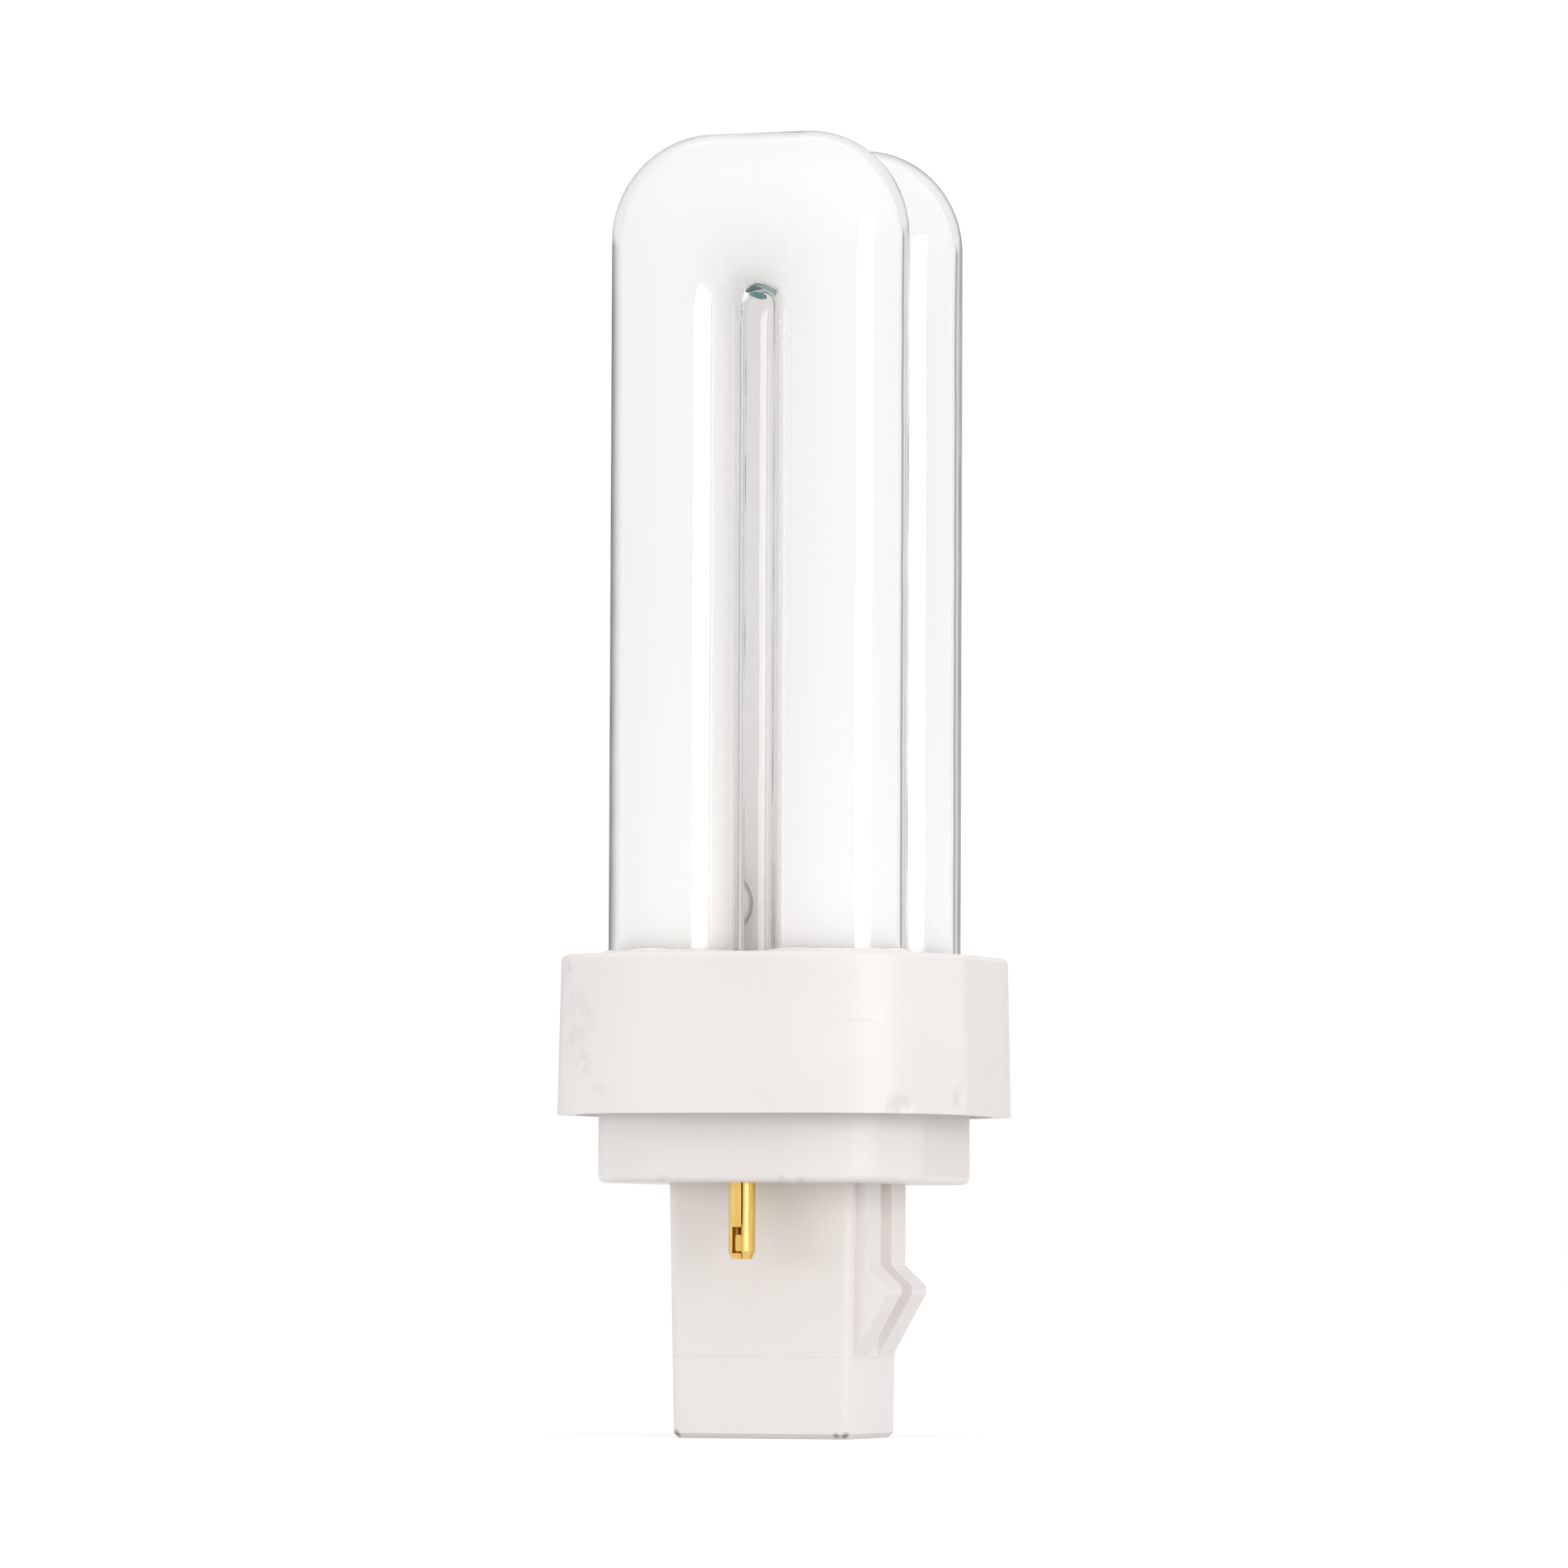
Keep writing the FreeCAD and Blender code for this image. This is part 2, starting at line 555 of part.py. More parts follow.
# Capacitor beside the starter, its two leads bent over to the starter leads
block = newBody("capacitor_block")
sketch = newSketch(block, "block_outline", "XY_Plane", "postFloor")
rectangle(sketch, "capacitorThick", "capacitorDeep")
pad(block, "block_pad", sketch, "capacitorLength")
fillet(block, "block_edges", "capacitorRound", lambda edge, box: upright(box))
fillet(block, "block_top", "capacitorRound / 2", lambda edge, box:
       near(box.ZMin, "postFloor + capacitorLength") and box.ZLength < 0.01)
blockSpot = "(%s) / 2 - innerClearance - capacitorThick / 2" % endWide
block.setExpression("Placement.Base.x", sheet(blockSpot))
doc.recompute()
blockX = value(blockSpot)
blockY = value("capacitorLeadPitch / 2")
blockZ = value("postFloor + capacitorLength")
joinShare = 0.55
joinZ = value(starterTop) + size("starterLeadLength") * joinShare
pieces = [block]
for label, side in (("capacitor_lead_front", -1), ("capacitor_lead_rear", 1)):
    lead = doc.addObject("Part::Feature", label)
    lead.Shape = wire([
        (blockX, side * blockY, blockZ - size("wireDiameter")),
        (blockX, side * blockY, joinZ),
        (leadX + size("wireDiameter") * 2, side * leadY, joinZ),
        (leadX + size("wireDiameter") / 2, side * leadY, joinZ),
    ])
    pieces.append(lead)
capacitor = doc.addObject("Part::MultiFuse", "starter_capacitor")
capacitor.Shapes = pieces
capacitor.Label = "starter_capacitor"
doc.recompute()

# Every solid is tested before it is written
for item in doc.Objects:
    if "Invalid" in item.State or "Error" in item.State:
        raise RuntimeError(item.Name + " did not build")
nodes = [
    "discharge_tube", "cement_bed", "base_collar", "base_cap", "contact_pin_front", "contact_pin_rear",
    "glow_starter", "starter_capacitor", "lead_front_pin", "lead_rear_pin", "lead_front_starter",
    "lead_rear_starter",
]
os.makedirs("parts", exist_ok=True)
for name in nodes:
    shape = doc.getObjectsByLabel(name)[0].Shape
    if shape.isNull() or not shape.isValid():
        raise RuntimeError(name + " is not a sound solid")
    box = shape.BoundBox
    print(name, len(shape.Solids), "solids", round(shape.Volume, 2), "mm3",
          "x %.2f %.2f y %.2f %.2f z %.2f %.2f" % (box.XMin, box.XMax, box.YMin, box.YMax, box.ZMin, box.ZMax))
    shape.exportStep("parts/" + name + ".step")
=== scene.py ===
import math
import bpy
import numpy as np
from mathutils import Matrix, Vector


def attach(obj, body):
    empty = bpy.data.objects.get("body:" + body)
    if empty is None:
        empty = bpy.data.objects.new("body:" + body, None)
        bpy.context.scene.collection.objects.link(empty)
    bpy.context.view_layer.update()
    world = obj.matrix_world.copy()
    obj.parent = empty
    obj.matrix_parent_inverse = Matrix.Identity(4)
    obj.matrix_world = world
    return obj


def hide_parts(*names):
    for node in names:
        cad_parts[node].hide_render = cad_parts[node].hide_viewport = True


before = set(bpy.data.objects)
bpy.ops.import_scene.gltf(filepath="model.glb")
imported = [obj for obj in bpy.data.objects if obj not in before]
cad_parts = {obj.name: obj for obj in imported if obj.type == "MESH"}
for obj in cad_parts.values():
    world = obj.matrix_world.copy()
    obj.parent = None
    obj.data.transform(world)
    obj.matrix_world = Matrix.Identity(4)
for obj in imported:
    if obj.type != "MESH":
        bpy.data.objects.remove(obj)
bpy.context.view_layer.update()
scene = bpy.context.scene

mm = 0.001


# mesh helpers

def gridFaces(rows, cols, wrapCols=True, wrapRows=False):
    # quads of a rows x cols grid, closed round either parameter when its wrap is on
    r = np.arange(rows if wrapRows else rows - 1)[:, None]
    c = np.arange(cols if wrapCols else cols - 1)[None, :]
    rn, cn = (r + 1) % rows, (c + 1) % cols
    quads = np.stack([r * cols + c, r * cols + cn, rn * cols + cn, rn * cols + c], axis=-1)
    return quads.reshape(-1, 4)


def plainObject(name, points, faces, material, smooth=True):
    mesh = bpy.data.meshes.new(name)
    mesh.from_pydata(np.asarray(points).reshape(-1, 3).tolist(), [], [list(f) for f in faces])
    mesh.polygons.foreach_set("use_smooth", np.full(len(mesh.polygons), smooth))
    mesh.update()
    thing = bpy.data.objects.new(name, mesh)
    scene.collection.objects.link(thing)
    if material is not None:
        mesh.materials.append(material)
    return thing


def makePiece(name, points, faces, material):
    piece = plainObject(name, points, faces, material)
    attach(piece, "root")
    return piece


def closedTube(rings):
    # rings of a closed tube, with a single pole at each end
    rings = np.asarray(rings)
    rows, cols, _ = rings.shape
    points = np.vstack([rings.reshape(-1, 3), rings[0].mean(axis=0), rings[-1].mean(axis=0)])
    first = rows * cols
    c = np.arange(cols)
    n = (c + 1) % cols
    last = (rows - 1) * cols
    startCap = np.stack([np.full(cols, first), n, c], axis=-1)
    endCap = np.stack([np.full(cols, first + 1), last + c, last + n], axis=-1)
    return points, gridFaces(rows, cols).tolist() + startCap.tolist() + endCap.tolist()


def outward(points, faces):
    # the sign of the enclosed volume tells which way the faces point
    tri = np.array([f[:3] for f in faces] + [[f[0], f[2], f[3]] for f in faces if len(f) == 4])
    p = np.asarray(points)[tri]
    volume = np.einsum("ij,ij->i", p[:, 0], np.cross(p[:, 1], p[:, 2])).sum()
    return faces if volume > 0 else [f[::-1] for f in faces]


# materials

def newMaterial(name):
    material = bpy.data.materials.new(name)
    material.use_nodes = True
    nodes = material.node_tree.nodes
    nodes.clear()
    out = nodes.new("ShaderNodeOutputMaterial")
    shader = nodes.new("ShaderNodeBsdfPrincipled")
    material.node_tree.links.new(shader.outputs["BSDF"], out.inputs["Surface"])
    return material, nodes, material.node_tree.links, shader, out


def noise(nodes, links, vector, scale, detail=3.0):
    node = nodes.new("ShaderNodeTexNoise")
    node.inputs["Scale"].default_value = scale
    node.inputs["Detail"].default_value = detail
    links.new(vector, node.inputs["Vector"])
    return node.outputs["Fac"]


def ramp(nodes, links, value, low, high, dark, light):
    node = nodes.new("ShaderNodeValToRGB")
    node.color_ramp.elements[0].position = low
    node.color_ramp.elements[0].color = (*dark, 1)
    node.color_ramp.elements[1].position = high
    node.color_ramp.elements[1].color = (*light, 1)
    links.new(value, node.inputs["Fac"])
    return node.outputs["Color"]


def bumpFrom(nodes, links, shader, height, strength, distance):
    node = nodes.new("ShaderNodeBump")
    node.inputs["Strength"].default_value = strength
    node.inputs["Distance"].default_value = distance
    links.new(height, node.inputs["Height"])
    links.new(node.outputs["Normal"], shader.inputs["Normal"])


def mixColor(nodes, links, factor, first, second):
    node = nodes.new("ShaderNodeMix")
    node.data_type = "RGBA"
    links.new(factor, node.inputs["Factor"])
    links.new(first, node.inputs["A"])
    node.inputs["B"].default_value = (*second, 1)
    return node.outputs["Result"]


def math2(nodes, links, operation, first, second):
    node = nodes.new("ShaderNodeMath")
    node.operation = operation
    for k, value in enumerate((first, second)):
        if isinstance(value, (int, float)):
            node.inputs[k].default_value = value
        else:
            links.new(value, node.inputs[k])
    return node.outputs[0]


def spotMask(nodes, links, vector, centre, radius):
    # 1 at the centre of a soft spot, 0 beyond its radius
    away = nodes.new("ShaderNodeVectorMath")
    away.operation = "DISTANCE"
    links.new(vector, away.inputs[0])
    away.inputs[1].default_value = [c * mm for c in centre]
    fade = nodes.new("ShaderNodeMapRange")
    fade.interpolation_type = "SMOOTHSTEP"
    fade.inputs["From Min"].default_value = radius * mm
    fade.inputs["From Max"].default_value = 0.0
    links.new(away.outputs["Value"], fade.inputs["Value"])
    return fade.outputs["Result"]


glassLook = {"tint": (0.86, 0.93, 0.92), "ior": 1.5, "density": 30.0, "ripple": 130.0, "rippleBump": 0.05}


def makeGlass():
    # clear glass with a faint tint in its depth and a slow ripple
    material, nodes, links, shader, out = newMaterial("clear_glass_wall")
    shader.inputs["Base Color"].default_value = (1, 1, 1, 1)
    shader.inputs["Transmission Weight"].default_value = 1.0
    shader.inputs["IOR"].default_value = glassLook["ior"]
    shader.inputs["Roughness"].default_value = 0.0
    fog = nodes.new("ShaderNodeVolumeAbsorption")
    fog.inputs["Color"].default_value = (*glassLook["tint"], 1)
    fog.inputs["Density"].default_value = glassLook["density"]
    links.new(fog.outputs["Volume"], out.inputs["Volume"])
    coords = nodes.new("ShaderNodeTexCoord")
    ripple = noise(nodes, links, coords.outputs["Object"], glassLook["ripple"], 1.0)
    bumpFrom(nodes, links, shader, ripple, glassLook["rippleBump"], 0.001)
    return material


# spread: two heights on the part and how far light spreads in the coating there
coatingLook = {
    "thin": (0.92, 0.89, 0.87), "thick": (0.945, 0.92, 0.90), "grain": 1300.0, "grainBump": 0.1, "cloud": 45.0,
    "roughness": 0.9, "specular": 0.1, "spread": (0.043, 0.075, 0.003, 0.025),
}


def makeCoating():
    # matt white powder that lets light spread inside the tube
    material, nodes, links, shader, out = newMaterial("white_coating")
    coords = nodes.new("ShaderNodeTexCoord")
    cloud = noise(nodes, links, coords.outputs["Object"], coatingLook["cloud"], 4.0)
    color = ramp(nodes, links, cloud, 0.3, 0.7, coatingLook["thin"], coatingLook["thick"])
    links.new(color, shader.inputs["Base Color"])
    grain = noise(nodes, links, coords.outputs["Object"], coatingLook["grain"], 2.0)
    bumpFrom(nodes, links, shader, grain, coatingLook["grainBump"], 0.0001)
    shader.inputs["Roughness"].default_value = coatingLook["roughness"]
    shader.inputs["Specular IOR Level"].default_value = coatingLook["specular"]
    shader.inputs["Subsurface Weight"].default_value = 1.0
    shader.inputs["Subsurface Radius"].default_value = (1, 1, 1)
    # light spreads far along the tubes and less near the collar, where the coating ends
    split = nodes.new("ShaderNodeSeparateXYZ")
    links.new(coords.outputs["Object"], split.inputs[0])
    spread = nodes.new("ShaderNodeMapRange")
    for socket, value in zip(("From Min", "From Max", "To Min", "To Max"), coatingLook["spread"]):
        spread.inputs[socket].default_value = value
    links.new(split.outputs["Z"], spread.inputs["Value"])
    links.new(spread.outputs["Result"], shader.inputs["Subsurface Scale"])
    return material


plasticLook = {
    "body": (0.865, 0.82, 0.795), "light": (0.89, 0.85, 0.825), "markAndShade": (0.55, 0.53, 0.52),
    "fleck": (0.16, 0.13, 0.11), "grain": 1600.0, "grainHeight": 0.015, "bump": 0.12, "cloud": 60.0,
    "patch": 600.0, "patchFrom": 0.38, "patchTo": 0.66, "smooth": 0.3, "rough": 0.35, "subsurface": 0.08,
}


def makePlastic(name, smudgesAndShade, flecks, lines):
    # off-white moulded plastic with soft smudges, small dark flecks and faint parting lines; some smudges are
    # painted shade
    material, nodes, links, shader, out = newMaterial(name)
    coords = nodes.new("ShaderNodeTexCoord")
    place = coords.outputs["Object"]
    cloud = noise(nodes, links, place, plasticLook["cloud"], 3.0)
    color = ramp(nodes, links, cloud, 0.35, 0.65, plasticLook["body"], plasticLook["light"])
    patch = noise(nodes, links, place, plasticLook["patch"], 4.0)
    patch = ramp(nodes, links, patch, plasticLook["patchFrom"], plasticLook["patchTo"], (0, 0, 0), (1, 1, 1))
    # a smudge is dirt, or painted shade where it sits in a dent
    for centre, radius, strength in smudgesAndShade:
        mask = math2(nodes, links, "MULTIPLY", spotMask(nodes, links, place, centre, radius), patch)
        mask = math2(nodes, links, "MULTIPLY", mask, strength)
        color = mixColor(nodes, links, mask, color, plasticLook["markAndShade"])
    for centre, radius, strength in flecks:
        mask = math2(nodes, links, "MULTIPLY", spotMask(nodes, links, place, centre, radius), strength)
        color = mixColor(nodes, links, mask, color, plasticLook["fleck"])
    split = nodes.new("ShaderNodeSeparateXYZ")
    links.new(place, split.inputs[0])
    grain = noise(nodes, links, place, plasticLook["grain"], 2.0)
    height = math2(nodes, links, "MULTIPLY", grain, plasticLook["grainHeight"])
    for level, wide, strength in lines:
        # a line is 1 at its level and falls to 0 over its half width
        gap = math2(nodes, links, "SUBTRACT", split.outputs["Z"], level * mm)
        gap = math2(nodes, links, "ABSOLUTE", gap, 0.0)
        edge = math2(nodes, links, "SUBTRACT", 1.0, math2(nodes, links, "DIVIDE", gap, wide * mm))
        edge = math2(nodes, links, "MAXIMUM", edge, 0.0)
        height = math2(nodes, links, "SUBTRACT", height, edge)
        mask = math2(nodes, links, "MULTIPLY", edge, strength)
        color = mixColor(nodes, links, mask, color, plasticLook["markAndShade"])
    links.new(color, shader.inputs["Base Color"])
    bumpFrom(nodes, links, shader, height, plasticLook["bump"], 0.00015)
    gloss = ramp(nodes, links, grain, 0.3, 0.7, (plasticLook["smooth"],) * 3, (plasticLook["rough"],) * 3)
    links.new(gloss, shader.inputs["Roughness"])
    shader.inputs["Subsurface Weight"].default_value = plasticLook["subsurface"]
    shader.inputs["Subsurface Radius"].default_value = (1.0, 0.85, 0.75)
    shader.inputs["Subsurface Scale"].default_value = 0.001
    return material


brassLook = {"dark": (0.71, 0.44, 0.11), "light": (0.86, 0.6, 0.2), "grain": 1800.0, "grainBump": 0.06,
             "smooth": 0.13, "rough": 0.26}


def makeBrass():
    material, nodes, links, shader, out = newMaterial("rolled_brass")
    coords = nodes.new("ShaderNodeTexCoord")
    stretch = nodes.new("ShaderNodeMapping")
    stretch.inputs["Scale"].default_value = (1, 1, 0.12)     # rolling marks run along the pin
    links.new(coords.outputs["Object"], stretch.inputs["Vector"])
    grain = noise(nodes, links, stretch.outputs["Vector"], brassLook["grain"], 4.0)
    color = ramp(nodes, links, grain, 0.3, 0.7, brassLook["dark"], brassLook["light"])
    links.new(color, shader.inputs["Base Color"])
    gloss = ramp(nodes, links, grain, 0.2, 0.8, (brassLook["smooth"],) * 3, (brassLook["rough"],) * 3)
    links.new(gloss, shader.inputs["Roughness"])
    bumpFrom(nodes, links, shader, grain, brassLook["grainBump"], 0.0001)
    shader.inputs["Metallic"].default_value = 1.0
    return material


def makeSimple(name, dark, light, scale, roughness, metallic=0.0, stretch=1.0):
    # a plain finish with a fine grain between two colours
    material, nodes, links, shader, out = newMaterial(name)
    coords = nodes.new("ShaderNodeTexCoord")
    turn = nodes.new("ShaderNodeMapping")
    turn.inputs["Scale"].default_value = (1, 1, stretch)
    links.new(coords.outputs["Object"], turn.inputs["Vector"])
    grain = noise(nodes, links, turn.outputs["Vector"], scale, 5.0)
    links.new(ramp(nodes, links, grain, 0.3, 0.7, dark, light), shader.inputs["Base Color"])
    bumpFrom(nodes, links, shader, grain, 0.2, 0.0001)
    shader.inputs["Roughness"].default_value = roughness
    shader.inputs["Metallic"].default_value = metallic
    return material


# wear and painted shade, in millimetres on the part: centre, radius and strength of a smudge or fleck, or level,
# half width and strength of a line; the collar's flecks make one short arched scratch, and its last two smudges are
# painted shade in its two dents
collarWearAndShade = {
    "smudgesAndShade": [((-15.5, -13.3, 41.3), 1.3, 0.6), ((-14.6, -14.3, 38.6), 2.9, 0.34),
                ((-13.1, -15.7, 36.9), 2.2, 0.4), ((-14.4, -14.5, 34.5), 2.6, 0.4),
                ((-13.0, -15.75, 32.9), 2.0, 0.4), ((-11.0, -17.0, 30.8), 1.6, 0.35),
                # the second smudge on this line and the one below are painted shade in the collar's two dents
                ((-15.3, -13.5, 29.0), 1.3, 0.55), ((15.45, -14.0, 29.0), 1.7, 0.3),
                ((18.55, -7.6, 30.0), 1.5, 0.45)],
    "flecks": [((11.45 + 0.24 * k, -17.02 + 0.163 * k, 36.35 + 0.012 * k * (9 - k)), 0.24, 0.08)
               for k in range(10)],
    "lines": [],
}
capWear = {
    "smudgesAndShade": [((-6.3, -14.6, 22.7), 1.0, 0.5), ((-4.9, -14.6, 22.6), 0.7, 0.5),
                ((4.8, -14.6, 22.7), 0.8, 0.55), ((6.6, -14.6, 22.6), 0.9, 0.5)],
    "flecks": [((-7.8, -6.4, 0.35), 0.6, 0.9), ((7.9, -6.3, 0.3), 0.55, 0.9),
               ((7.1, -6.5, 0.3), 0.45, 0.8), ((8.1, 6.15, 0.35), 0.7, 0.9)],
    "lines": [(7.2, 0.12, 0.12)],
}

clearGlass = makeGlass()
coating = makeCoating()
collarPlastic = makePlastic("collar_plastic", **collarWearAndShade)
capPlastic = makePlastic("cap_plastic", **capWear)
brass = makeBrass()
cement = makeSimple("white_cement", (0.80, 0.78, 0.75), (0.90, 0.88, 0.86), 1500.0, 0.95)
copper = makeSimple("copper_lead", (0.36, 0.12, 0.06), (0.50, 0.20, 0.11), 2500.0, 0.4, 1.0, 0.1)
resin = makeSimple("dipped_resin", (0.42, 0.22, 0.07), (0.55, 0.31, 0.11), 500.0, 0.25)
starterGlass = makeSimple("starter_glass", (0.70, 0.74, 0.74), (0.80, 0.83, 0.83), 300.0, 0.08)
print("materials made")


# the glass: two U tubes with moulded flat-topped bends

# pitches are from the part's axis to a leg's axis, and tube is a radius
uTube = {
    "tube": 6.0, "pitchAcross": 7.6, "pitchDeep": 7.6, "top": 115.5, "bendDepth": 14.2, "shoulder": 9.2,
    "foot": 32.3, "coatFoot": 38.6, "footRound": 3.0, "wall": 0.85, "gap": 0.03,
    "around": 128, "bendRows": 121, "legRows": 24, "footRows": 10,
}


def uRings(inset, foot):
    # section = centre + a cos(phi) u + b sin(phi) y, where the centre and u run from the slot outline to the
    # outer outline of the U along a ray from the slot's end centre, and a and b are less by the inset
    d = uTube
    slot = d["pitchAcross"] - d["tube"]
    half = d["pitchAcross"] + d["tube"]
    zc = d["top"] - d["bendDepth"] - slot
    rise = d["top"] - zc
    r = d["shoulder"]
    # right half of the outer outline as a dense line, from the leg up to the middle of the top
    t = np.linspace(0, math.pi / 2, 200)
    side = np.stack([np.full(60, half), np.linspace(0, rise - r, 60)], axis=-1)
    arc = np.stack([half - r + r * np.cos(t), rise - r + r * np.sin(t)], axis=-1)
    flat = np.stack([np.linspace(half - r, 0, 80), np.full(80, rise)], axis=-1)
    line = np.vstack([side, arc[1:], flat[1:]])
    angle = np.arctan2(line[:, 1], line[:, 0])
    reach = np.hypot(line[:, 0], line[:, 1])
    turn = np.linspace(0, math.pi, d["bendRows"])
    folded = np.where(turn > math.pi / 2, math.pi - turn, turn)
    outer = np.interp(folded, angle, reach)
    ux, uz = np.cos(turn), np.sin(turn)
    midBend = (outer + slot) / 2
    bendX, bendZ = midBend * ux, zc + midBend * uz
    halfBend = (outer - slot) / 2
    # feet: the radius follows a quarter round
    k = np.linspace(0.06, 1, d["footRows"])
    footZ = foot + d["footRound"] * (1 - np.cos(k * math.pi / 2)) + inset
    footR = d["tube"] - d["footRound"] * (1 - np.sin(k * math.pi / 2))
    legZ = np.linspace(footZ[-1], zc, d["legRows"])[1:-1]
    upZ = np.concatenate([footZ, legZ])
    upA = np.concatenate([footR, np.full(len(legZ), d["tube"])])
    x = np.concatenate([np.full(len(upZ), d["pitchAcross"]), bendX, np.full(len(upZ), -d["pitchAcross"])])
    z = np.concatenate([upZ, bendZ, upZ[::-1]])
    a = np.concatenate([upA, halfBend, upA[::-1]]) - inset
    b = np.concatenate([upA, np.full(len(turn), d["tube"]), upA[::-1]]) - inset
    dirX = np.concatenate([np.ones(len(upZ)), ux, -np.ones(len(upZ))])
    dirZ = np.concatenate([np.zeros(len(upZ)), uz, np.zeros(len(upZ))])
    phi = np.linspace(0, 2 * math.pi, d["around"], endpoint=False)
    px = x[:, None] + (a * dirX)[:, None] * np.cos(phi)[None, :]
    pz = z[:, None] + (a * dirZ)[:, None] * np.cos(phi)[None, :]
    py = b[:, None] * np.sin(phi)[None, :]
    return np.stack([px, py, pz], axis=-1) * mm


def buildU(name, y):
    # a clear wall with its inner face turned round, and a coated core just inside it
    outerPoints, outerFaces = closedTube(uRings(0.0, uTube["foot"]))
    innerPoints, innerFaces = closedTube(uRings(uTube["wall"], uTube["foot"]))
    shift = np.array([0, y * mm, 0])
    count = len(outerPoints)
    points = np.vstack([outerPoints, innerPoints]) + shift
    faces = outerFaces + [[i + count for i in f][::-1] for f in innerFaces]
    wall = makePiece(name + "_glass", points, faces, clearGlass)
    corePoints, coreFaces = closedTube(uRings(uTube["wall"] + uTube["gap"], uTube["coatFoot"]))
    makePiece(name + "_coating", corePoints + shift, coreFaces, coating)
    wall.visible_shadow = False       # light reaches the coating through the clear wall
    wall.visible_diffuse = False
    return wall


frontGlass = buildU("front_u", -uTube["pitchDeep"])
buildU("rear_u", uTube["pitchDeep"])
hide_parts("discharge_tube")
print("glass built")


# short neck that joins the two U tubes near their feet

neck = {"x": -7.6, "z": 47.6, "radius": 2.6, "flare": 0.9, "sink": 0.12, "rows": 41, "around": 64,
        "cloud": 200.0, "roughness": 0.6, "coatRoughness": 0.02}


def makeNeckGlass():
    # white coating under a clear glossy coat
    material, nodes, links, shader, out = newMaterial("neck_glass")
    coords = nodes.new("ShaderNodeTexCoord")
    cloud = noise(nodes, links, coords.outputs["Object"], neck["cloud"], 3.0)
    color = ramp(nodes, links, cloud, 0.3, 0.7, coatingLook["thin"], coatingLook["thick"])
    links.new(color, shader.inputs["Base Color"])
    shader.inputs["Roughness"].default_value = neck["roughness"]
    shader.inputs["Coat Weight"].default_value = 1.0
    shader.inputs["Coat Roughness"].default_value = neck["coatRoughness"]
    return material


def buildNeck(material):
    # radius(v) = r + flare * v^8 for v from -1 to 1 along y, where each end stops at the leg's round surface:
    # reach = pitch - sqrt(tube^2 - across^2) + sink
    d = neck
    v = np.linspace(-1, 1, d["rows"])[:, None]
    phi = np.linspace(0, 2 * math.pi, d["around"], endpoint=False)[None, :]
    radius = d["radius"] + d["flare"] * v ** 8
    across = radius * np.cos(phi)
    reach = uTube["pitchDeep"] - np.sqrt(uTube["tube"] ** 2 - across ** 2) + d["sink"]
    points = np.stack([d["x"] + across, reach * v, d["z"] + radius * np.sin(phi)], axis=-1) * mm
    tubePoints, tubeFaces = closedTube(points[::-1])
    makePiece("glass_neck", tubePoints, tubeFaces, material)


buildNeck(makeNeckGlass())
print("neck built")


# collar: a rounded square cup with two small dents near its lower edge and four leg holes

# topInsets and ceilingInsets are the rings between the middle and the rim; a dent is a centre, radius and depth
collarForm = {
    "foot": 28.5, "top": 42.6, "half": 18.85, "corner": 14.0, "draft": 1.3, "edge": 0.5, "wall": 1.6, "ledge": 0.8,
    "lidTop": 32.0, "ceiling": 40.8, "hole": 6.38, "holeAround": 128, "plugOver": 1.0,
    "columns": 480, "wallRows": 60, "edgeRows": 7, "topInsets": (9, 6, 3.5, 2), "ceilingInsets": (6, 9),
    "dents": [((15.5, -14.05, 28.9), 1.0, 0.3), ((18.7, -7.0, 30.2), 0.8, 0.25)],
}


def roundedSquare(flatHalf, corner, columns):
    # walk round the outline, a flat and then a quarter round on each side: base is the point of the inner square
    # that the outline belongs to, and out is its outward direction
    side = 2 * flatHalf + corner * math.pi / 2
    walk = np.linspace(0, 4 * side, columns, endpoint=False)
    start = np.floor(walk / side) * math.pi / 2
    along = walk % side
    out = start + np.maximum(along - 2 * flatHalf, 0) / corner
    shift = np.minimum(along, 2 * flatHalf) - flatHalf
    base = np.stack([flatHalf * np.cos(start) - shift * np.sin(start),
                     flatHalf * np.sin(start) + shift * np.cos(start)], axis=-1)
    return base, np.stack([np.cos(out), np.sin(out)], axis=-1)


